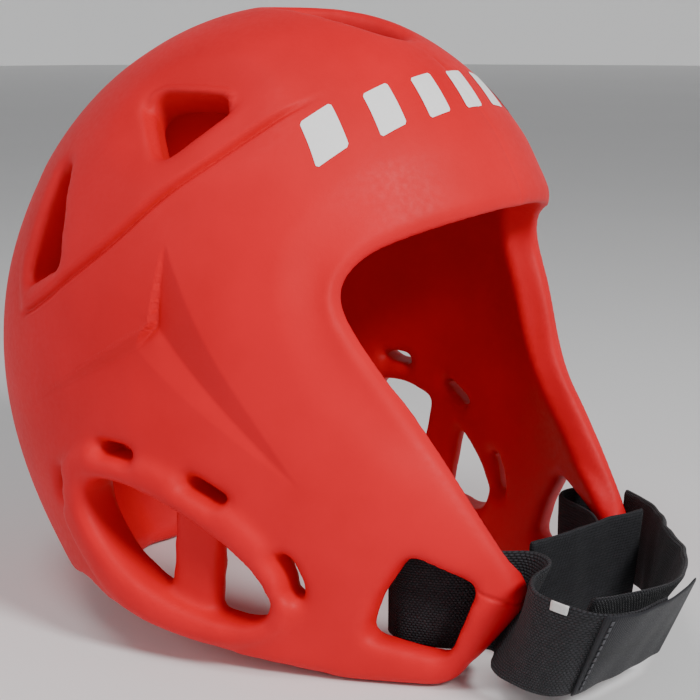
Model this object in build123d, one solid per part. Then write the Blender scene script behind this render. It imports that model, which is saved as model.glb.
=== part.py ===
from build123d import *
from math import cos, pi, sin
import os

# Driving dimensions in millimetres. +Z is up, the face looks along -Y, the wearer's left is +X.
# The origin is on the floor under the middle of the whole object.

SHELL_WIDTH = 220.0  # over the widest level
SHELL_LENGTH = 258.0  # front to back at the widest level, before the face is cut out
SHELL_HEIGHT = 253.5  # floor to crown
WAIST_HEIGHT = 112.0  # the widest level
CROWN_CENTRE_Y = 35.5
CROWN_LEAN = 0.072  # how far the crown's centre comes forward per millimetre of height
WALL = 18.0  # foam thickness

SKIRT_TUCK = 7.0  # how far the sides come in at the floor
NAPE_TUCK = 42.0  # how far the back comes in at the floor
CHEEK_REACH = 75.0  # how far the lower front runs ahead of the widest level
CHEEK_FLATNESS = 0.6  # 0 keeps the lower front elliptical, 1 makes the cheeks flat
NAPE_FLATNESS = 0.7  # the same behind the ears
CHEEK_THINNING = 0.3  # how much the wall thins towards the cheek tips

BROW_Y = -42.0  # rear corner of the face opening
BROW_Z = 159.0
BROW_ROUND = 18.0
CHEEK_KNEE_Y = -70.0  # the opening's lower edge bends here
CHEEK_KNEE_Z = 104.0
CHEEK_TIP_Y = -114.0  # front end of the cheeks, before rounding
CHEEK_TIP_Z = 38.0
CHEEK_TIP_ROUND = 14.0
FOOT_TOE_Y = -86.0  # front end of the cheek feet
BROW_RISE = 0.45  # slope of the opening's upper edge
RIM_ARCH = ((-10.0, 6.0), (30.0, 16.0), (66.0, 25.0))  # the rim lifts over the ears, as (y, z)
FOOT_FRONT_Y = -50.0  # rear end of the cheek feet
FOOT_REAR_Y = 112.0  # front end of the nape foot

EAR_Y = 17.5
EAR_Z = 48.5
EAR_LONG = 112.0
EAR_SHORT = 65.0
EAR_TILT = 25.0  # the front end is lower
EAR_RISE = 4.0  # how far the ear guard stands out
EAR_HOLE_Y = 14.0
EAR_HOLE_Z = 47.0
EAR_HOLE_LONG = 86.0
EAR_HOLE_SHORT = 37.0
EAR_HOLE_TILT = 29.0
EAR_BAR_Y = 7.5
EAR_BAR_WIDTH = 20.0
EAR_BAR_SUNK = 6.0
CRESCENT_GAP = -4.0  # from the ear guard's edge to its crescents
CRESCENT_WIDTH = 5.5
CRESCENT_ANGLES = (18.0, 63.0, 127.0, 187.0)  # around the ear guard, from the back
CRESCENT_SPANS = (12.0, 20.0, 30.0, 20.0)

TOP_VENT_Y = 6.0
TOP_VENT_LONG = 60.0
TOP_VENT_WIDE = 28.0
UPPER_VENT_AT = (76.0, 27.0, 213.0)
UPPER_VENT_NORMAL = (0.767, 0.0, 0.641)
UPPER_VENT_CORNERS = ((24.0, -10.0), (-25.0, -10.0), (1.0, 21.0))
REAR_VENT_AT = (88.0, 82.0, 172.0)
REAR_VENT_NORMAL = (0.857, 0.361, 0.366)
REAR_VENT_CORNERS = ((11.0, -37.0), (-17.0, 20.0), (10.0, 33.0))
VENT_ROUND = 5.0

SLOT_CORNERS = ((-72.0, 53.0), (-95.0, 41.0), (-85.5, 12.5), (-57.0, 19.0), (-62.0, 35.0))
SLOT_ROUND = 4.0

STRAP_BOTTOM = 10.5
STRAP_TOP = 50.5
TURN_BOTTOM = 18.0  # the webbing is drawn in where it goes through the far slot
TURN_TOP = 45.0
ELASTIC_THICK = 2.2
LOOP_THICK = 2.0
HOOK_THICK = 1.4
PRINT_THICK = 0.4
TAG_TALL = 6.0
TAG_THICK = 0.6
THREAD_THICK = 0.5
PRINT_BARS = 7
PRINT_Y = -53.5
PRINT_Z = 221.0
PRINT_PITCH = 21.0
PRINT_HEIGHT = 19.0
PRINT_BAR_WIDTH = 11.0
PRINT_SLANT = 2.5
PRINT_BOW = 0.75

# Plan lines of the straps, as (x, y) on the middle of the webbing.
ANCHOR_LINE = ((-48.0, -52.0), (-53.5, -62.0), (-48.0, -80.0), (-36.5, -97.0), (-31.0, -107.0),
               (-35.5, -117.0), (-50.0, -120.8))
ELASTIC_LINE = ((-52.3, -121.6), (-60.0, -125.5), (-64.5, -134.0), (-59.0, -145.0), (-42.3, -155.0))
HOOK_LINE = ((-41.0, -155.6), (-30.0, -161.0), (-17.0, -165.5))
LOOP_LINE = ((-40.0, -152.6), (-29.0, -158.2), (-14.0, -161.0), (3.0, -156.5), (22.5, -145.0), (39.0, -128.5),
             (51.0, -114.0), (60.3, -100.2))
TURN_LINE = ((61.2, -98.7), (66.0, -89.2), (68.5, -80.5), (66.0, -74.0), (58.0, -72.5), (51.0, -77.0),
             (44.3, -88.5), (38.5, -97.5))
INNER_LINE = ((32.0, -106.5), (28.0, -116.0), (11.0, -124.0), (-10.0, -121.0), (-25.5, -112.5))


def level(up, grow):
    """Half width, middle, back, front, the two roundnesses and the height of one section."""
    crown = SHELL_HEIGHT - WAIST_HEIGHT
    if up >= 0:
        spread = cos(up * pi / 2)
        rise = crown * sin(up * pi / 2)
        middle = CROWN_CENTRE_Y - CROWN_LEAN * rise
        reach = (SHELL_LENGTH / 2 + grow) * spread
        height = WAIST_HEIGHT + (crown + grow) * sin(up * pi / 2)
        return (SHELL_WIDTH / 2 + grow) * spread, middle, middle + reach, middle - reach, 2.0, 2.0, height
    down = -up
    half = SHELL_WIDTH / 2 + grow - SKIRT_TUCK * down**2
    back = CROWN_CENTRE_Y + SHELL_LENGTH / 2 + grow - NAPE_TUCK * down**2.4
    eased = 1 - (1 - down) ** 2
    front = CROWN_CENTRE_Y - SHELL_LENGTH / 2 - grow * (1 - CHEEK_THINNING * down) - CHEEK_REACH * eased**1.5
    round_front = 2 - CHEEK_FLATNESS * eased
    round_back = 2 - NAPE_FLATNESS * down**2
    return half, CROWN_CENTRE_Y + 5 * down, back, front, round_front, round_back, WAIST_HEIGHT * (1 - down)


def loop(up, grow):
    """One closed level curve: elliptical behind, flatter in front."""
    half, middle, back, front, round_front, round_back, height = level(up, grow)
    points = []
    for step in range(32):
        turn = 2 * pi * step / 32
        behind = cos(turn) >= 0
        power = 2 / (round_back if behind else round_front)
        side = abs(sin(turn)) ** power * (1 if sin(turn) >= 0 else -1)
        along = abs(cos(turn)) ** power
        y = middle + (back - middle) * along if behind else middle - (middle - front) * along
        points.append((half * side, y, height))
    return Face(Wire([Edge.make_spline([Vector(*p) for p in points], periodic=True)]))


def form(grow):
    """The head-shaped solid, thicker or thinner by grow all over."""
    levels = [-1.06, -0.88, -0.7, -0.5, -0.3, -0.12, 0.06, 0.2, 0.34, 0.48, 0.6, 0.72, 0.82, 0.9, 0.955]
    return loft([loop(up, grow) for up in levels])


def rounded(corners, radius):
    """A polygon with every corner rounded."""
    flat = make_face(Polyline(*corners, close=True))
    return fillet(flat.vertices(), radius)


def across(flat):
    """A drawing in the side view, carried through both sides of the shell."""
    return extrude(Plane.YZ * flat, amount=140, both=True)


def side_view():
    """The shell's outline from the side: face opening, cheek tip, feet and rim."""
    front = -170.0
    corners = [
        (front, BROW_Z + BROW_RISE * (BROW_Y - front), 0),
        (BROW_Y, BROW_Z, BROW_ROUND),
        (CHEEK_KNEE_Y, CHEEK_KNEE_Z, 60),
        (CHEEK_TIP_Y, CHEEK_TIP_Z, CHEEK_TIP_ROUND),
        (FOOT_TOE_Y, 0, 15),
        (FOOT_FRONT_Y, 0, 25),
        *[(y, z, 25) for y, z in RIM_ARCH],
        (FOOT_REAR_Y, 0, 25),
        (200, 0, 0),
        (200, 280, 0),
        (front, 280, 0),
    ]
    flat = make_face(Polyline(*[(y, z) for y, z, r in corners], close=True))
    for y, z, r in corners:
        if r:
            flat = fillet(flat.vertices().sort_by_distance((y, z, 0))[0], r)
    return flat


def oval(y, z, long, short, tilt):
    return Pos(y, z) * Rot(0, 0, tilt) * Ellipse(long / 2, short / 2)


def ear_disc(more=0.0):
    return oval(EAR_Y, EAR_Z, EAR_LONG + 2 * more, EAR_SHORT + 2 * more, EAR_TILT)


def ear_hole():
    return oval(EAR_HOLE_Y, EAR_HOLE_Z, EAR_HOLE_LONG, EAR_HOLE_SHORT, EAR_HOLE_TILT)


def wedge(angle, span):
    """A sector of the side view around the ear guard's centre."""
    far = 120.0
    low = (angle - span / 2) * pi / 180
    high = (angle + span / 2) * pi / 180
    tips = [(far * cos(low), far * sin(low)), (far * cos(high), far * sin(high))]
    return Pos(EAR_Y, EAR_Z) * make_face(Polyline((0, 0), *tips, close=True))


def crescent(angle, span):
    band = ear_disc(CRESCENT_GAP + CRESCENT_WIDTH) - ear_disc(CRESCENT_GAP)
    return band & wedge(angle, span)


def vent(at, normal, corners, side):
    """A three-cornered hole square to the skin; side is 1 for the left and -1 for the right."""
    place = Plane(
        origin=(at[0] * side, at[1], at[2]),
        x_dir=(normal[1] * side * -1, normal[0], 0),
        z_dir=(normal[0] * side, normal[1], normal[2]),
    )
    flat = rounded([(x, -y * side) for x, y in corners], VENT_ROUND)
    return extrude(place * flat, amount=30, both=True)


def ear_guards(outer):
    """Raised oval rims over both ears, still solid in the middle."""
    return form(EAR_RISE) & across(ear_disc())


def ear_bars(cavity):
    """The flat sunk bar that crosses each ear opening."""
    strip = Pos(EAR_BAR_Y, EAR_Z) * Rot(0, 0, 8) * Rectangle(EAR_BAR_WIDTH, 90)
    return form(-EAR_BAR_SUNK) & across(ear_hole() & strip)


def shell():
    outer = form(0)
    cavity = form(-WALL)
    body = outer + ear_guards(outer)
    body = body - across(ear_hole()) + ear_bars(cavity)
    body = body - cavity
    body = body & across(side_view())
    for angle, span in zip(CRESCENT_ANGLES, CRESCENT_SPANS):
        body = body - across(crescent(angle, span))
    body = body - across(rounded(SLOT_CORNERS, SLOT_ROUND))
    for side in (1, -1):
        body = body - vent(UPPER_VENT_AT, UPPER_VENT_NORMAL, UPPER_VENT_CORNERS, side)
        body = body - vent(REAR_VENT_AT, REAR_VENT_NORMAL, REAR_VENT_CORNERS, side)
    top = Pos(0, TOP_VENT_Y, SHELL_HEIGHT) * Ellipse(TOP_VENT_WIDE / 2, TOP_VENT_LONG / 2)
    return body - extrude(top, amount=40, both=True)


def band(line, thick, bottom=STRAP_BOTTOM, top=STRAP_TOP):
    """Upright webbing along a plan line."""
    middle = Edge.make_spline([Vector(x, y, 0) for x, y in line])
    ends = []
    for sign in (1, -1):
        points = []
        for step in range(25):
            t = step / 24
            along = middle.tangent_at(t)
            points.append(middle.position_at(t) + Vector(-along.Y, along.X, 0) * (sign * thick / 2))
        ends.append(points)
    sides = [Edge.make_spline(points) for points in ends]
    caps = [Edge.make_line(ends[0][0], ends[1][0]), Edge.make_line(ends[0][-1], ends[1][-1])]
    flat = Face(Wire([sides[0], caps[1], sides[1], caps[0]]))
    return Pos(0, 0, bottom) * extrude(flat, amount=top - bottom, dir=(0, 0, 1))


def patch(line, start, end, thick, bottom, top):
    """A thin strip lying on the outside of the elastic, between two shares of its length."""
    middle = Edge.make_spline([Vector(x, y, 0) for x, y in line])
    lift = ELASTIC_THICK / 2 + 0.05 + thick / 2
    points = []
    for step in range(9):
        t = start + (end - start) * step / 8
        along = middle.tangent_at(t)
        at = middle.position_at(t)
        points.append((at.X + along.Y * lift, at.Y - along.X * lift))
    return band(points, thick, bottom, top)


def print_bar(index):
    """One slanted bar of the forehead print, a thin film on the skin."""
    middle = (index - (PRINT_BARS - 1) / 2) * PRINT_PITCH
    lift = PRINT_BOW * (middle / PRINT_PITCH) ** 2
    half = PRINT_HEIGHT / 2
    foot = [(-PRINT_BAR_WIDTH / 2 - PRINT_SLANT, -half), (PRINT_BAR_WIDTH / 2 - PRINT_SLANT, -half)]
    head = [(PRINT_BAR_WIDTH / 2 + PRINT_SLANT, half), (-PRINT_BAR_WIDTH / 2 + PRINT_SLANT, half)]
    flat = Pos(middle, lift) * make_face(Polyline(*foot, *head, close=True))
    lie = Plane(origin=(0, PRINT_Y, PRINT_Z), x_dir=(1, 0, 0), z_dir=(0, -0.668, 0.744))
    cut = extrude(lie * flat, amount=45, both=True)
    return (form(PRINT_THICK) & cut) - form(0)


def save(name, solid):
    solid.label = name
    export_step(solid, "parts/" + name + ".step")


def main():
    os.makedirs("parts", exist_ok=True)
    save("foam_shell", shell())
    for index in range(PRINT_BARS):
        save("forehead_print_bar_" + str(index + 1), print_bar(index))
    save("near_anchor_webbing", band(ANCHOR_LINE, ELASTIC_THICK))
    save("chin_strap_elastic", band(ELASTIC_LINE, ELASTIC_THICK))
    save("woven_tag", patch(ELASTIC_LINE, 0.30, 0.44, TAG_THICK, STRAP_TOP - TAG_TALL, STRAP_TOP))
    low, high = STRAP_BOTTOM + 2.5, STRAP_TOP - 2.5
    save("tape_seam_stitches", patch(ELASTIC_LINE, 0.92, 0.96, THREAD_THICK, low, high))
    save("hook_tape", band(HOOK_LINE, HOOK_THICK))
    save("chin_strap_loop_pile", band(LOOP_LINE, LOOP_THICK))
    save("far_turn_webbing", band(TURN_LINE, LOOP_THICK, TURN_BOTTOM, TURN_TOP))
    save("inner_chin_webbing", band(INNER_LINE, LOOP_THICK))


main()
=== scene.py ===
import math

import bmesh
import bpy
import numpy as np
import openvdb as vdb
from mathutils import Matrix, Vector
from mathutils.bvhtree import BVHTree


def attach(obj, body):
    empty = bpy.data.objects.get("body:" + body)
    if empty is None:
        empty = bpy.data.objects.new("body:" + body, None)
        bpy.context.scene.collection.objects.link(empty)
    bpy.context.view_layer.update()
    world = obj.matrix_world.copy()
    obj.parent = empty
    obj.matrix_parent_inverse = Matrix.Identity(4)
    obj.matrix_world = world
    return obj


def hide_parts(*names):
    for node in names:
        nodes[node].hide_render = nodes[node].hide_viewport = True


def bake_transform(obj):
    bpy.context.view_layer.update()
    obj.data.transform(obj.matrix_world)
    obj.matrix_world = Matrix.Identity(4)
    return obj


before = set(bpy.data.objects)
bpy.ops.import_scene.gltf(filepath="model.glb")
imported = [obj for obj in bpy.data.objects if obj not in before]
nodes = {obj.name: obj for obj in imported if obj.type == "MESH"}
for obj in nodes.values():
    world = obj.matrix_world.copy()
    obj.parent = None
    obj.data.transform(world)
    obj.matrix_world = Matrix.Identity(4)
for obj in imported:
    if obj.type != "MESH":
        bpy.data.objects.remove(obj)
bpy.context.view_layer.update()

# Shapes are worked out in millimetres in the row frame and turned into metres when a mesh is made.
MM = 0.001
VOXEL = 1.8
PAD = 8  # empty voxels kept around the foam


# ---------------------------------------------------------------- numbers


def ease(low, high, value):
    """0 below low, 1 above high, smooth between."""
    t = np.clip((value - low) / (high - low), 0.0, 1.0)
    return t * t * (3 - 2 * t)


def curve(points, step=2.0):
    """A smooth line through the points, as many short pieces."""
    p = np.array(points, float)
    q = np.vstack([2 * p[0] - p[1], p, 2 * p[-1] - p[-2]])
    out = []
    for i in range(1, len(q) - 2):
        n = max(2, int(np.linalg.norm(q[i + 1] - q[i]) / step))
        for t in np.arange(n) / n:
            a, b, c, d = q[i - 1], q[i], q[i + 1], q[i + 2]
            out.append(
                0.5
                * (
                    2 * b
                    + (c - a) * t
                    + (2 * a - 5 * b + 4 * c - d) * t**2
                    + (3 * b - a - 3 * c + d) * t**3
                )
            )
    out.append(p[-1])
    return np.array(out)


def from_line(line, y, z):
    """Signed distance to a side-view line, positive on its left, and the share of its length there."""
    best = np.full(y.shape, 1e9)
    sign = np.ones(y.shape)
    share = np.zeros(y.shape)
    lengths = np.hypot(*np.diff(line, axis=0).T)
    total = lengths.sum()
    run = 0.0
    for (ay, az), (by, bz), length in zip(line, line[1:], lengths):
        dy, dz = by - ay, bz - az
        t = np.clip(((y - ay) * dy + (z - az) * dz) / (length * length), 0, 1)
        gap = np.hypot(y - ay - t * dy, z - az - t * dz)
        near = gap < best
        best = np.where(near, gap, best)
        sign = np.where(near, np.where(dy * (z - az) - dz * (y - ay) >= 0, 1.0, -1.0), sign)
        share = np.where(near, (run + t * length) / total, share)
        run += length
    return best * sign, share


def shares(a, b, c, y, z):
    """Barycentric shares of a, b and c at (y, z)."""
    area = (b[0] - a[0]) * (c[1] - a[1]) - (c[0] - a[0]) * (b[1] - a[1])
    wb = ((y - a[0]) * (c[1] - a[1]) - (c[0] - a[0]) * (z - a[1])) / area
    wc = ((b[0] - a[0]) * (z - a[1]) - (y - a[0]) * (b[1] - a[1])) / area
    return 1 - wb - wc, wb, wc


# ---------------------------------------------------------------- foam as a level set


def arrays(obj):
    mesh = obj.data
    mesh.calc_loop_triangles()
    points = np.empty(len(mesh.vertices) * 3, np.float32)
    mesh.vertices.foreach_get("co", points)
    tris = np.empty(len(mesh.loop_triangles) * 3, np.int32)
    mesh.loop_triangles.foreach_get("vertices", tris)
    return points.reshape(-1, 3) * 1000, tris.reshape(-1, 3)


def level_set(points, band, tris=None, quads=None):
    place = vdb.createLinearTransform(voxelSize=VOXEL)
    kinds = {}
    if tris is not None and len(tris):
        kinds["triangles"] = tris
    if quads is not None and len(quads):
        kinds["quads"] = quads
    return vdb.FloatGrid.createLevelSetFromPolygons(points, transform=place, halfWidth=band, **kinds)


def opened(points, tris, radius, corner, shape):
    """The field of the solid with its outward edges rounded to radius."""
    band = math.ceil(radius / VOXEL) + 3
    first = level_set(points, band, tris=tris)
    p, t, q = first.convertToPolygons(isovalue=-radius)
    second = level_set(p, band + 1, tris=t, quads=q)
    field = np.zeros(shape, np.float32)
    second.copyToArray(field, ijk=corner)
    return field - radius


def blurred(field, sigma):
    """Smoothed by a bell of sigma voxels."""
    reach = int(math.ceil(2.5 * sigma))
    weights = np.exp(-0.5 * (np.arange(-reach, reach + 1) / sigma) ** 2)
    weights /= weights.sum()
    for axis in range(3):
        out = np.zeros_like(field)
        for k, w in zip(range(-reach, reach + 1), weights):
            out += w * np.roll(field, k, axis)
        field = out
    return field


# The face opening's edge in the side view, and how far its inside edge is drawn back.
OPENING = curve([
    (-170, 216.6), (-120, 194.1), (-80, 176.1), (-60, 166.5), (-50, 158), (-48.5, 147), (-58, 127),
    (-70, 104), (-88, 77), (-104, 53)])
LIP = 11.0
EAR = (17.5, 48.5, 25.0, 56.0, 32.5)  # centre y and z, tilt in degrees, half its length and height
# Centres of the vents, on the right as x, y, z, and of the slot as y, z.
UPPER_VENT = (76, 27, 213)
REAR_VENT = (88, 82, 172)
TOP_VENT = (0, 6, 245)
SLOT = (-76, 33)
# The outer form: its widest level, and its measures there and above.
WAIST = 112.0
WAIST_Y = 35.5
WAIST_HALF_WIDTH = 110.0
WAIST_HALF_LENGTH = 129.0
CROWN_RISE = 141.5
CROWN_LEAN = 0.072
CHEEK_REACH = 75
# Rounding of the outward edges in millimetres, and blur in voxels, where soft and where crisp.
SOFT_RADIUS, SOFT_BLUR = 4.5, 1.2
CRISP_RADIUS, CRISP_BLUR = 3.0, 0.85


def ear_level(y, z):
    """1 on the edge of the ear guard, less inside."""
    cy, cz, tilt, a, b = EAR
    c, s = math.cos(math.radians(tilt)), math.sin(math.radians(tilt))
    u = (y - cy) * c + (z - cz) * s
    v = -(y - cy) * s + (z - cz) * c
    return np.hypot(u / a, v / b)


def from_centre(centre, x, y, z):
    """Distance to a centre or to its mirror image."""
    cx, cy, cz = centre
    return np.sqrt((abs(x) - cx) ** 2 + (y - cy) ** 2 + (z - cz) ** 2)


def crispness(x, y, z):
    """Where the moulded edges stay sharp: ear guards, slots and vents."""
    side = ease(50, 62, abs(x)) * (1 - ease(1.12, 1.3, ear_level(y, z)))
    slot = ease(35, 45, abs(x)) * (1 - ease(24, 32, np.hypot(y - SLOT[0], z - SLOT[1])))
    upper = 1 - ease(34, 44, from_centre(UPPER_VENT, x, y, z))
    rear = 1 - ease(44, 54, from_centre(REAR_VENT, x, y, z))
    top = 1 - ease(40, 50, from_centre(TOP_VENT, x, y, z))
    return np.maximum.reduce([side, slot, upper, rear, top])


def depth(x, y, z):
    """Roughly how deep a point lies under the helmet's outer form, in millimetres."""
    rise = np.maximum(z - WAIST, 0.0)
    down = np.maximum(1 - z / WAIST, 0.0)
    eased = 1 - (1 - np.minimum(down, 1.0)) ** 2
    middle = WAIST_Y - CROWN_LEAN * rise + 5 * down
    half = WAIST_HALF_WIDTH - 7 * down**2
    reach = WAIST_HALF_LENGTH + 5 * down + CHEEK_REACH * eased**1.5
    power = 2 - 0.6 * eased
    ratio = (abs(x / half) ** power + abs((y - middle) / reach) ** power) ** (1 / power)
    ratio = np.sqrt(ratio**2 + (rise / CROWN_RISE) ** 2)
    return (1 - ratio) * np.sqrt(x**2 + (y - middle) ** 2 + rise**2)


def foam_field(points, tris):
    """The soft-edged field, with the array index of its first voxel."""
    low = np.floor(points.min(0) / VOXEL).astype(int) - PAD
    high = np.ceil(points.max(0) / VOXEL).astype(int) + PAD
    shape = tuple(high - low)
    corner = tuple(int(v) for v in low)
    x, y, z = [((np.arange(n) + c) * VOXEL).astype(np.float32) for n, c in zip(shape, corner)]
    x, y, z = x[:, None, None], y[None, :, None], z[None, None, :]
    gap = from_line(OPENING, *np.broadcast_arrays(y[0], z[0]))[0][None]
    thin = 0.8 * (LIP * ease(3, 16, depth(x, y, z)) - gap)
    soft = blurred(np.maximum(opened(points, tris, SOFT_RADIUS, corner, shape), thin), SOFT_BLUR)
    crisp = blurred(opened(points, tris, CRISP_RADIUS, corner, shape), CRISP_BLUR)
    w = crispness(x, y, z)
    return soft * (1 - w) + crisp * w, corner


def sample(field, corner, points):
    """The field at the points, straight between voxels."""
    q = points / VOXEL - np.array(corner)
    i = np.clip(np.floor(q).astype(int), 0, np.array(field.shape) - 2)
    f = q - i
    out = 0.0
    for dx in (0, 1):
        for dy in (0, 1):
            for dz in (0, 1):
                w = np.abs(1 - dx - f[:, 0]) * np.abs(1 - dy - f[:, 1]) * np.abs(1 - dz - f[:, 2])
                out = out + w * field[i[:, 0] + dx, i[:, 1] + dy, i[:, 2] + dz]
    return out


def normals(field, corner, points, reach=1.0):
    """Outward directions from the field's slope."""
    step = reach * VOXEL
    slopes = []
    for axis in range(3):
        away = np.zeros(3)
        away[axis] = step
        slopes.append(sample(field, corner, points + away) - sample(field, corner, points - away))
    n = np.stack(slopes, 1)
    return n / np.maximum(np.linalg.norm(n, axis=1, keepdims=True), 1e-9)


# ---------------------------------------------------------------- moulded relief


# All in the side view, as (y, z). RIDGE runs up to the brow. BEVEL is the outer edge of the opening's band.
RIDGE = curve([
    (99, 129), (88, 134), (76, 140.5), (67, 146.5), (42, 164), (22, 182), (4, 197.5), (-6, 206),
    (-17.3, 214.8), (-26.6, 221.5)])
BEVEL = curve([
    (-112, 214), (-78, 206), (-57, 199.5), (-40, 188), (-28.5, 168), (-30, 148), (-38, 121),
    (-48, 103), (-66, 84), (-78, 74)])
SLOT_CREASE = ((-94.0, 40.5), (-110.0, 35.0))
# The pressed figure: its upper tip, its two middle points, and the tips of its right and left blades.
STAR_T = (15.0, 167.0)
STAR_V = (18.0, 137.2)
STAR_P = (25.5, 126.5)
STAR_R = (-39.2, 76.8)
STAR_L = (96.5, 90.0)
STAR_DEEP = 6.0
STAR_FOOT = 3.4
STAR_DIP = 1.6
# How far the crown stands out, and how deep the creases, the band and the bowls go.
RIDGE_STEP = 1.8
RIDGE_CREASE = 2.0
RIDGE_UNDER = 0.3
BAND_DROP = 2.9
BOWL_AT = (76, 22, 212)
BOWL_DROP = 2.0
SLOT_CREASE_DROP = 0.7
PARTING_DROP = 0.25


def star(y, z):
    """The three-bladed figure pressed into each side."""
    h = np.zeros(y.shape)
    t, v, r = shares(STAR_T, STAR_V, STAR_R, y, z)
    h = np.where((t >= 0) & (v >= 0) & (r >= 0), -STAR_DEEP * v, h)
    v, p, r = shares(STAR_V, STAR_P, STAR_R, y, z)
    h = np.where((v >= 0) & (p >= 0) & (r >= 0), -STAR_DEEP * v - STAR_FOOT * p, h)
    v, p, l = shares(STAR_V, STAR_P, STAR_L, y, z)
    h = np.where((v >= 0) & (p >= 0) & (l >= 0), -STAR_FOOT * p, h)
    # Below the two lower edges the skin comes back out slowly, and above them it dips a little.
    right, share_r = from_line(np.array([STAR_P, STAR_R]), y, z)
    left, share_l = from_line(np.array([STAR_P, STAR_L]), y, z)
    shade = np.maximum(
        (1 - share_r) * (1 - ease(0, 34, right)), (1 - share_l) * (1 - ease(0, 34, -left))
    )
    h = np.where((right > 0) & (left < 0) & (h == 0), -STAR_FOOT * shade, h)
    gap, share = from_line(np.array([STAR_T, STAR_V, STAR_L]), y, z)
    dip = STAR_DIP * np.minimum(share / 0.26, (1 - share) / 0.74) * (1 - ease(0, 26, gap))
    h = np.where((gap > 0) & (h == 0), -dip, h)
    return h


def relief(p, n):
    """How far each point of the skin is moved outwards, in millimetres."""
    x, y, z = p[:, 0], p[:, 1], p[:, 2]
    away = n[:, 0] * (x / 110) + n[:, 1] * (y - 35) / 140 + n[:, 2] * (z - 100) / 140
    outer = ease(0.15, 0.4, away)
    brow = ease(0.3, 0.8, -n[:, 1])
    side = ease(0.35, 0.6, n[:, 0] * np.sign(x)) * outer
    h = np.zeros(len(p))
    for dy, dz in ((0, 0), (0.8, 0), (-0.8, 0), (0, 0.8), (0, -0.8)):
        h += side * star(y + dy, z + dz) / 5
    # The long ridge: the crown stands proud of the sides, with a narrow crease along the edge.
    gap, share = from_line(RIDGE, y, z)
    gap = -gap
    ends = ease(0.0, 0.07, share) * (1 - ease(0.86, 1.0, share))
    crown = ease(-0.6, 2.4, gap) * (1 - 0.75 * ease(4, 30, gap))
    crease = np.exp(-((gap / 1.25) ** 2))
    under = ease(-12, 0, gap) * (gap < 0)
    step = RIDGE_STEP * crown - RIDGE_CREASE * crease + RIDGE_UNDER * under
    h += outer * ends * ease(30, 45, abs(x)) * step
    # The soft band around the face opening.
    gap, share = from_line(BEVEL, y, z)
    band = ease(0.1, 0.75, away) * BAND_DROP * ease(-1, 15, -gap)
    h -= band * (1 - ease(0.9, 1.0, share)) * (1 - 0.75 * brow)
    # Shallow bowl around each upper vent.
    bx, by, bz = BOWL_AT
    bowl = np.sqrt(((abs(x) - bx) ** 2 + (z - bz) ** 2) * 1.7 + (y - by) ** 2)
    h -= outer * BOWL_DROP * (1 - ease(22, 42, bowl)) * ease(0.2, 0.5, n[:, 2])
    # Short crease in the strip below each slot, and the parting line at the front.
    gap, share = from_line(np.array(SLOT_CREASE), y, z)
    within = (abs(x) > 30) * ease(0, 0.25, share) * (share < 0.99)
    h -= outer * SLOT_CREASE_DROP * np.exp(-(gap**2)) * within
    front = ease(0.2, 0.5, -n[:, 1]) * outer
    h -= front * PARTING_DROP * np.exp(-((x / 0.9) ** 2))
    return h


def needs_detail(x, y, z):
    """Distance in millimetres to the nearest crisp line, in the side view."""
    lines = [RIDGE] + [np.array(pair) for pair in (
        (STAR_T, STAR_V), (STAR_V, STAR_R), (STAR_T, STAR_R), (STAR_V, STAR_L), (STAR_P, STAR_R),
        (STAR_V, STAR_P), (STAR_P, STAR_L), SLOT_CREASE)]
    gaps = [abs(from_line(line, y, z)[0]) for line in lines]
    gap = np.minimum.reduce(gaps)
    front = np.where((y < -40) & (z > 150), abs(x) * 2.5, 1e3)
    return np.minimum(gap, front)


def coordinates(bm):
    return np.array([v.co for v in bm.verts], float)


def refine(bm, reach, field, corner):
    """Splits the faces near crisp lines."""
    p = coordinates(bm)
    n = normals(field, corner, p)
    gap = needs_detail(p[:, 0], p[:, 1], p[:, 2])
    facing = (n * (p - np.array([0.0, 35.0, 100.0]))).sum(1) > 0
    near = (gap < reach) & facing & (p[:, 2] > 30)
    bm.verts.ensure_lookup_table()
    edges = [e for e in bm.edges if near[e.verts[0].index] and near[e.verts[1].index]]
    bmesh.ops.subdivide_edges(bm, edges=edges, cuts=1, use_grid_fill=True)
    bmesh.ops.triangulate(bm, faces=[f for f in bm.faces if len(f.verts) > 4])
    bm.verts.index_update()


def new_object(name, data):
    obj = bpy.data.objects.new(name, data)
    bpy.context.scene.collection.objects.link(obj)
    return obj


def make_shell():
    points, tris = arrays(nodes["foam_shell"])
    field, corner = foam_field(points, tris)
    grid = vdb.FloatGrid(10 * VOXEL)
    grid.transform = vdb.createLinearTransform(voxelSize=VOXEL)
    grid.copyFromArray(field, ijk=corner)
    p, t, q = grid.convertToPolygons(isovalue=0.0)
    mesh = bpy.data.meshes.new("soft_shell")
    faces = [tuple(int(i) for i in f) for f in t] + [tuple(int(i) for i in f) for f in q]
    mesh.from_pydata(p.tolist(), [], faces)
    bm = bmesh.new()
    bm.from_mesh(mesh)
    bmesh.ops.remove_doubles(bm, verts=bm.verts, dist=0.01)
    bmesh.ops.recalc_face_normals(bm, faces=bm.faces)
    refine(bm, 4.5, field, corner)
    refine(bm, 3.0, field, corner)
    p = coordinates(bm)
    for _ in range(3):
        n = normals(field, corner, p, 0.5)
        p -= n * np.clip(sample(field, corner, p), -1.5, 1.5)[:, None]
    n = normals(field, corner, p, 0.8)
    p += n * relief(p, n)[:, None]
    for v, co in zip(bm.verts, p):
        v.co = Vector(co) * MM
    bm.to_mesh(mesh)
    bm.free()
    mesh.update()
    for poly in mesh.polygons:
        poly.use_smooth = True
    print("shell", len(mesh.vertices), "points", len(mesh.polygons), "faces")
    return new_object("soft_shell", mesh)


# ---------------------------------------------------------------- materials


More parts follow.
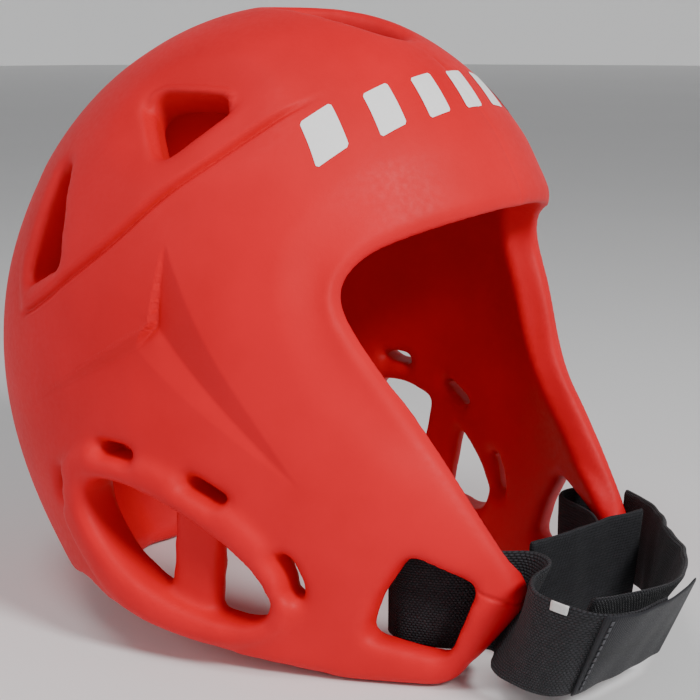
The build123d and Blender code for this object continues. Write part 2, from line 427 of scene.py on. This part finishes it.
def material(name):
    m = bpy.data.materials.new(name)
    m.use_nodes = True
    m.node_tree.nodes.clear()
    out = m.node_tree.nodes.new("ShaderNodeOutputMaterial")
    bsdf = m.node_tree.nodes.new("ShaderNodeBsdfPrincipled")
    m.node_tree.links.new(bsdf.outputs["BSDF"], out.inputs["Surface"])
    return m, m.node_tree, bsdf


def add(tree, kind, links=(), **settings):
    """A shader node, with its inputs set or linked."""
    node = tree.nodes.new(kind)
    for key, value in settings.items():
        if key in node.inputs:
            node.inputs[key].default_value = value
        else:
            setattr(node, key, value)
    for socket, source in dict(links).items():
        tree.links.new(source, node.inputs[socket])
    return node


def mix(tree, factor, a, b):
    """A colour between a and b."""
    node = add(tree, "ShaderNodeMix", data_type="RGBA")
    node.inputs[6].default_value = (*a, 1)
    node.inputs[7].default_value = (*b, 1)
    tree.links.new(factor, node.inputs[0])
    return node.outputs[2]


def spread(tree, value, low, high, to_low, to_high):
    node = add(tree, "ShaderNodeMapRange")
    node.inputs["From Min"].default_value = low
    node.inputs["From Max"].default_value = high
    node.inputs["To Min"].default_value = to_low
    node.inputs["To Max"].default_value = to_high
    tree.links.new(value, node.inputs["Value"])
    return node.outputs["Result"]


def cloud(tree, where, scale, detail):
    """A noise texture's value."""
    return add(tree, "ShaderNodeTexNoise", {"Vector": where}, Scale=scale, Detail=detail).outputs["Fac"]


def bumped(tree, height, strength, distance, **links):
    """The direction of a surface roughened by height."""
    links["Height"] = height
    return add(tree, "ShaderNodeBump", links, Strength=strength, Distance=distance).outputs["Normal"]


def foam_material():
    m, tree, bsdf = material("red_foam_skin")
    where = add(tree, "ShaderNodeTexCoord").outputs["Object"]
    broad = cloud(tree, where, 22, 3)
    fine = cloud(tree, where, 1500, 4)
    grain = cloud(tree, where, 420, 3)
    colour = mix(tree, spread(tree, broad, 0.35, 0.65, 0, 1), (0.62, 0.0010, 0.008), (0.70, 0.0016, 0.011))
    tree.links.new(colour, bsdf.inputs["Base Color"])
    tree.links.new(spread(tree, grain, 0.3, 0.7, 0.52, 0.62), bsdf.inputs["Roughness"])
    bsdf.inputs["Specular IOR Level"].default_value = 0.25
    first = bumped(tree, grain, 0.10, 0.0004)
    tree.links.new(bumped(tree, fine, 0.12, 0.0002, Normal=first), bsdf.inputs["Normal"])
    return m


def math_node(tree, operation, a, b=None):
    node = add(tree, "ShaderNodeMath", operation=operation)
    for socket, value in zip(node.inputs, (a, b)):
        if value is None:
            continue
        if isinstance(value, (int, float)):
            socket.default_value = value
        else:
            tree.links.new(value, socket)
    return node.outputs[0]


def weave_material(name, dark, light, pitch_u, pitch_v, depth, stagger=True, rough=0.8, fuzz=0.0):
    """Cloth whose cells run along the strap (u) and across it (v), both in metres in the UV map."""
    m, tree, bsdf = material(name)
    uv = add(tree, "ShaderNodeUVMap", uv_map="cloth").outputs["UV"]
    wobble = cloud(tree, uv, 260, 2)
    xyz = add(tree, "ShaderNodeSeparateXYZ", {"Vector": uv})
    shift = spread(tree, wobble, 0, 1, -0.00035, 0.00035)
    u = math_node(tree, "DIVIDE", math_node(tree, "ADD", xyz.outputs["X"], shift), pitch_u)
    v = math_node(tree, "DIVIDE", math_node(tree, "ADD", xyz.outputs["Y"], shift), pitch_v)
    if stagger:
        row = math_node(tree, "FLOOR", v)
        u = math_node(tree, "ADD", u, math_node(tree, "MULTIPLY", row, 0.5))
    swells = []
    for along in (u, v):
        wave = math_node(tree, "SINE", math_node(tree, "MULTIPLY", along, math.pi))
        swells.append(math_node(tree, "POWER", math_node(tree, "ABSOLUTE", wave), 0.6))
    cell = math_node(tree, "MULTIPLY", *swells)
    lint = cloud(tree, uv, 1400, 4)
    height = math_node(tree, "ADD", cell, math_node(tree, "MULTIPLY", lint, 0.45 + fuzz))
    patchy = math_node(tree, "MULTIPLY", cell, spread(tree, wobble, 0.3, 0.7, 0.6, 1.0))
    tree.links.new(mix(tree, patchy, dark, light), bsdf.inputs["Base Color"])
    roughness = spread(tree, lint, 0.3, 0.7, rough - 0.08, min(1.0, rough + 0.1))
    tree.links.new(roughness, bsdf.inputs["Roughness"])
    bsdf.inputs["Specular IOR Level"].default_value = 0.3
    bsdf.inputs["Sheen Weight"].default_value = 0.03 + 0.08 * fuzz
    bsdf.inputs["Sheen Roughness"].default_value = 0.45
    tree.links.new(bumped(tree, height, 0.9, depth), bsdf.inputs["Normal"])
    return m


def plain_cloth(name, low, high, scale, depth):
    m, tree, bsdf = material(name)
    where = add(tree, "ShaderNodeTexCoord").outputs["Object"]
    noise = cloud(tree, where, scale, 4)
    tree.links.new(mix(tree, noise, low, high), bsdf.inputs["Base Color"])
    tree.links.new(spread(tree, noise, 0.3, 0.7, 0.55, 0.75), bsdf.inputs["Roughness"])
    tree.links.new(bumped(tree, noise, 0.4, depth), bsdf.inputs["Normal"])
    return m


# ---------------------------------------------------------------- forehead print


PRINT_BARS = 7
PRINT_AT = (0, -53.5, 221.0)
PRINT_FACING = (0, -0.668, 0.744)
PRINT_PITCH = 21.0
PRINT_HEIGHT = 19.0
PRINT_WIDTH = 11.0
PRINT_SLANT = 5.0  # how far a bar's upper end is shifted along the row
PRINT_BOW = 0.75  # rise of the first neighbour of the middle bar
PRINT_CORNER = 1.2
PRINT_CAST = 40  # the rays start this far out
PRINT_ROWS, PRINT_COLUMNS = 20, 12


def surface(obj):
    mesh = obj.data
    verts = [v.co.copy() for v in mesh.vertices]
    return BVHTree.FromPolygons(verts, [tuple(p.vertices) for p in mesh.polygons])


def make_print(shell, paint):
    tree = surface(shell)
    along = Vector((1, 0, 0))
    facing = Vector(PRINT_FACING).normalized()
    up = facing.cross(along).normalized()
    for index in range(PRINT_BARS):
        middle = (index - PRINT_BARS // 2) * PRINT_PITCH
        lift = PRINT_BOW * (middle / PRINT_PITCH) ** 2
        bm = bmesh.new()
        grid = []
        for r in range(PRINT_ROWS + 1):
            share_v = r / PRINT_ROWS
            line = []
            for c in range(PRINT_COLUMNS + 1):
                share_u = c / PRINT_COLUMNS
                # Corners rounded a little by drawing the end rows in.
                end = max(0.0, PRINT_CORNER - min(share_v, 1 - share_v) * PRINT_HEIGHT)
                draw = end * end * 0.55
                width = PRINT_WIDTH - 2 * draw
                u = middle + (share_v - 0.5) * PRINT_SLANT + (share_u - 0.5) * width
                v = lift + (share_v - 0.5) * PRINT_HEIGHT
                start = Vector(PRINT_AT) + along * u + up * v + facing * PRINT_CAST
                hit, normal, _, _ = tree.ray_cast(start * MM, -facing, 0.12)
                if normal.dot(facing) < 0:
                    normal = -normal
                line.append(bm.verts.new(hit + normal * 0.0002))
            grid.append(line)
        for r in range(PRINT_ROWS):
            for c in range(PRINT_COLUMNS):
                bm.faces.new((grid[r][c], grid[r][c + 1], grid[r + 1][c + 1], grid[r + 1][c]))
        mesh = bpy.data.meshes.new("print_film_%d" % (index + 1))
        bm.to_mesh(mesh)
        bm.free()
        for poly in mesh.polygons:
            poly.use_smooth = True
        obj = new_object(mesh.name, mesh)
        obj.data.materials.append(paint)
        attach(obj, "guard")
        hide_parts("forehead_print_bar_%d" % (index + 1))


# ---------------------------------------------------------------- webbing


def stations(points, steps=14):
    """A smooth run through stations of (bottom x, bottom y, top x, top y), as an array."""
    p = np.array(points, float)
    q = np.vstack([2 * p[0] - p[1], p, 2 * p[-1] - p[-2]])
    out = []
    for i in range(1, len(q) - 2):
        for t in np.arange(steps) / steps:
            a, b, c, d = q[i - 1], q[i], q[i + 1], q[i + 2]
            bend = (2 * a - 5 * b + 4 * c - d) * t**2 + (3 * b - a - 3 * c + d) * t**3
            out.append(0.5 * (2 * b + (c - a) * t + bend))
    out.append(p[-1])
    return np.array(out)


def ribbon(name, run, low, high, thick, lift=0.0, ripple=0.0, rows=30, start=0.0, end=1.0):
    """A woven strap from height low to high. run holds its lines at LOW and HIGH. lift moves it outwards,
    ripple gives it soft waves, and start and end cut it to shares of its length."""
    middle = (run[:, :2] + run[:, 2:]) / 2
    length = np.concatenate([[0], np.cumsum(np.hypot(*np.diff(middle, axis=0).T))])
    count = max(6, int((end - start) * length[-1] / 1.1))
    at = np.linspace(start * length[-1], end * length[-1], count)
    slope = np.gradient(middle, axis=0)
    slope /= np.linalg.norm(slope, axis=1, keepdims=True)
    verts, uvs, faces = [], [], []
    ring = 2 * (rows + 1)
    for here in at:
        for side in (1, -1):
            for k in range(rows + 1):
                v = (k if side == 1 else rows - k) / rows
                up = (low + (high - low) * v - LOW) / (HIGH - LOW)
                x = np.interp(here, length, run[:, 0]) * (1 - up) + np.interp(here, length, run[:, 2]) * up
                y = np.interp(here, length, run[:, 1]) * (1 - up) + np.interp(here, length, run[:, 3]) * up
                tx, ty = np.interp(here, length, slope[:, 0]), np.interp(here, length, slope[:, 1])
                edge = min(v, 1 - v) * (high - low)
                half = thick / 2 * (0.4 + 0.6 * min(1.0, edge / (thick * 0.6)) ** 0.5)
                wave = math.sin(here * 0.17 + up * 1.9) + 0.6 * math.sin(here * 0.39 - up * 2.6 + 1.0)
                out = side * half - lift + ripple * wave
                z = low + (high - low) * v + 0.5 * ripple * math.sin(here * 0.31 + v * 2)
                verts.append(((x - ty * out) * MM, (y + tx * out) * MM, z * MM))
                uvs.append((here * MM, z * MM))
    for i in range(count - 1):
        for k in range(ring):
            a, b = i * ring + k, i * ring + (k + 1) % ring
            faces.append((a, b, b + ring, a + ring))
    for i in (0, count - 1):
        for k in range(rows):
            a, b = i * ring + k, i * ring + k + 1
            c, d = i * ring + ring - 1 - k, i * ring + ring - 2 - k
            faces.append((a, c, d, b) if i == 0 else (a, b, d, c))
    mesh = bpy.data.meshes.new(name)
    mesh.from_pydata(verts, [], faces)
    layer = mesh.uv_layers.new(name="cloth")
    for loop in mesh.loops:
        layer.data[loop.index].uv = uvs[loop.vertex_index]
    bm = bmesh.new()
    bm.from_mesh(mesh)
    bmesh.ops.recalc_face_normals(bm, faces=bm.faces)
    bm.to_mesh(mesh)
    bm.free()
    for poly in mesh.polygons:
        poly.use_smooth = True
    return new_object(name, mesh)


# OUTER is the elastic with the hook tape on it, BACK the loop strap, INNER the strip behind the chin,
# and TURN the webbing's way through the far slot.
LOW, HIGH = 10.8, 50.2
OUTER = stations([
    (-48, -52, -48, -52), (-53.5, -62, -53.5, -62), (-48, -80, -47.5, -80), (-41, -93, -37, -95),
    (-46, -98, -31, -105.5), (-55.5, -102.5, -37, -116), (-62.5, -112, -55, -118.5),
    (-65.5, -122.5, -68, -127), (-65, -132, -74.5, -145), (-58, -137, -73, -157),
    (-44, -139.3, -63, -163.5), (-24, -143.3, -43, -167), (-2, -146, -16, -165)])
BACK = stations([
    (60.5, -99.5, 61.5, -101.5), (53, -112.5, 54.5, -113.5), (42, -121, 45.5, -122), (29, -127.5, 34.5, -130),
    (15, -133, 23, -138), (0, -137, 8, -149.5), (-14, -138, -5, -157), (-25, -137, -20, -162),
    (-36, -134.5, -36, -160.5), (-46, -131.5, -50, -154.5), (-55, -129, -62, -146)])
INNER = stations([
    (33, -117, 34, -120.5), (18, -112, 18, -115), (4, -108, 3.7, -111.2), (-12, -104, -14, -107.4),
    (-25, -100, -27.5, -103)])
TURN = stations([
    (61.2, -98.7) * 2, (66, -89.2) * 2, (68.5, -80.5) * 2, (66, -74) * 2, (58, -72.5) * 2, (51, -77) * 2,
    (44.3, -88.5) * 2, (37, -98) * 2, (24, -106) * 2, (12, -105) * 2])


def finish_cloth(obj, look, slot_name, *covered):
    obj.data.materials.append(look)
    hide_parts(*covered)


def make_straps():
    black, grey = (0.0025, 0.0025, 0.0035), (0.026, 0.026, 0.031)
    pale = (0.040, 0.040, 0.046)
    knit = weave_material("elastic_knit", black, pale, 0.0015, 0.00105, 0.0006)
    low_rib, high_rib = (0.004, 0.004, 0.006), (0.013, 0.013, 0.018)
    fine = weave_material("hook_ribs", low_rib, high_rib, 0.0008, 0.03, 0.00012, False, 0.6)
    pile = weave_material("loop_fuzz", black, grey, 0.0010, 0.0009, 0.0007, True, 0.92, 0.8)
    flat = weave_material("plain_weave", black, grey, 0.0008, 0.0012, 0.0003, True, 0.8)

    elastic = ribbon("elastic_band", OUTER, LOW, HIGH, 2.1, ripple=0.22, end=0.84)
    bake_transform(elastic)
    finish_cloth(elastic, knit, "elastic_webbing", "near_anchor_webbing", "chin_strap_elastic")

    hook = ribbon(
        "hook_tape_piece", OUTER, LOW - 0.1, HIGH + 0.1, 1.3, lift=1.85, ripple=0.22, start=0.66, end=0.965
    )
    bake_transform(hook)
    finish_cloth(hook, fine, "hook_tape", "hook_tape")

    back = ribbon("loop_strap_piece", BACK, LOW + 0.3, HIGH - 0.3, 2.6, ripple=0.45)
    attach(back, "loop_strap")
    finish_cloth(back, pile, "loop_webbing", "chin_strap_loop_pile")

    turn = ribbon("far_turn_piece", TURN, 18.0, 45.0, 2.0)
    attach(turn, "guard")
    finish_cloth(turn, flat, "loop_webbing", "far_turn_webbing")

    inner = ribbon("inner_strip_piece", INNER, 13.0, 52.5, 2.0, ripple=0.3)
    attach(inner, "guard")
    finish_cloth(inner, flat, "loop_webbing", "inner_chin_webbing")


STITCHES = 12
STITCH_LOW = 13.0
STITCH_PITCH = 3.0
STITCH_LENGTH = 1.9


def make_trim(white, dark):
    tag = ribbon("woven_tag_piece", OUTER, 46.9, 50.9, 0.7, lift=1.4, rows=8, start=0.572, end=0.604)
    finish = [(tag, white, "tag", "woven_tag")]
    parts = []
    for k in range(STITCHES):
        low = STITCH_LOW + k * STITCH_PITCH
        high = low + STITCH_LENGTH
        parts.append(ribbon("stitch_%d" % k, OUTER, low, high, 0.5, lift=2.6, rows=6, start=0.672, end=0.676))
    for obj in parts:
        obj.select_set(True)
    bpy.context.view_layer.objects.active = parts[0]
    bpy.ops.object.join()
    seam = bpy.context.view_layer.objects.active
    seam.name = "seam_stitches_piece"
    finish.append((seam, dark, "thread", "tape_seam_stitches"))
    for obj, look, slot_name, node in finish:
        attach(obj, "elastic_strap")
        finish_cloth(obj, look, slot_name, node)


# ---------------------------------------------------------------- build


foam = foam_material()
shell = make_shell()
shell.data.materials.append(foam)
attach(shell, "guard")
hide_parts("foam_shell")

white = plain_cloth("white_film", (0.80, 0.79, 0.78), (0.88, 0.87, 0.87), 900, 0.00008)
make_print(shell, white)
make_straps()
for obj in bpy.context.selected_objects:
    obj.select_set(False)
tag_cloth = plain_cloth("tag_cloth", (0.55, 0.55, 0.54), (0.80, 0.80, 0.78), 1600, 0.0002)
thread = plain_cloth("sewing_thread", (0.03, 0.03, 0.035), (0.09, 0.09, 0.10), 2500, 0.0002)
make_trim(tag_cloth, thread)


# ---------------------------------------------------------------- studio


FLOOR_HALF = 6.0
WALL_RADIUS = 5.9
WALL_SIDES = 48
WALL_LOW, WALL_HIGH = -0.2, 4.0
GLOW = 0.30
LAMPS_AIM = (0, 0.0, 0.12)
CAMERA_AT = (-0.5473, -0.3741, 0.2553)
CAMERA_AIM = (0, 0, 0.110)
LENS = 82.29
SENSOR = 36


def aim(obj, at, toward):
    """Puts a lamp or camera in its place, turned to a point."""
    obj.location = at
    obj.rotation_mode = "QUATERNION"
    obj.rotation_quaternion = (Vector(toward) - obj.location).to_track_quat("-Z", "Y")


def area(name, at, size, power):
    lamp = bpy.data.lights.new(name, "AREA")
    lamp.shape = "DISK"
    lamp.size = size
    lamp.energy = power
    aim(new_object(name, lamp), at, LAMPS_AIM)


def studio():
    mesh = bpy.data.meshes.new("studio_floor")
    s = FLOOR_HALF
    mesh.from_pydata([(-s, -s, 0), (s, -s, 0), (s, s, 0), (-s, s, 0)], [], [(0, 1, 2, 3)])
    floor = new_object("studio_floor", mesh)
    m, tree, bsdf = material("studio_paper")
    where = add(tree, "ShaderNodeTexCoord").outputs["Object"]
    noise = cloud(tree, where, 3, 2)
    colour = mix(tree, noise, (0.80, 0.80, 0.80), (0.83, 0.83, 0.83))
    tree.links.new(colour, bsdf.inputs["Base Color"])
    bsdf.inputs["Roughness"].default_value = 0.9
    mesh.materials.append(m)
    wall = bpy.data.meshes.new("studio_wall")
    n = WALL_SIDES
    turns = [2 * math.pi * t / n for t in range(n)]
    ring = [(WALL_RADIUS * math.cos(t), WALL_RADIUS * math.sin(t)) for t in turns]
    corners = [(px, py, z) for z in (WALL_LOW, WALL_HIGH) for px, py in ring]
    wall.from_pydata(corners, [], [(i, (i + 1) % n, n + (i + 1) % n, n + i) for i in range(n)])
    backdrop = new_object("studio_wall", wall)
    glow, _, glow_bsdf = material("studio_screen")
    glow_bsdf.inputs["Base Color"].default_value = (0.8, 0.8, 0.8, 1)
    glow_bsdf.inputs["Emission Color"].default_value = (1, 1, 1, 1)
    glow_bsdf.inputs["Emission Strength"].default_value = GLOW
    wall.materials.append(glow)
    world = bpy.data.worlds.new("studio_light")
    bpy.context.scene.world = world
    world.use_nodes = True
    back = world.node_tree.nodes["Background"]
    back.inputs["Color"].default_value = (0.95, 0.96, 1.0, 1)
    back.inputs["Strength"].default_value = 0.16
    area("key", (-0.35, -1.15, 0.95), 0.35, 19)
    area("top", (-0.5, 0.1, 1.3), 0.5, 5)
    area("left", (-1.0, 0.7, 0.7), 0.5, 2)


studio()
camera = new_object("camera", bpy.data.cameras.new("camera"))
camera.data.sensor_width = SENSOR
camera.data.lens = LENS
aim(camera, CAMERA_AT, CAMERA_AIM)
bpy.context.scene.camera = camera
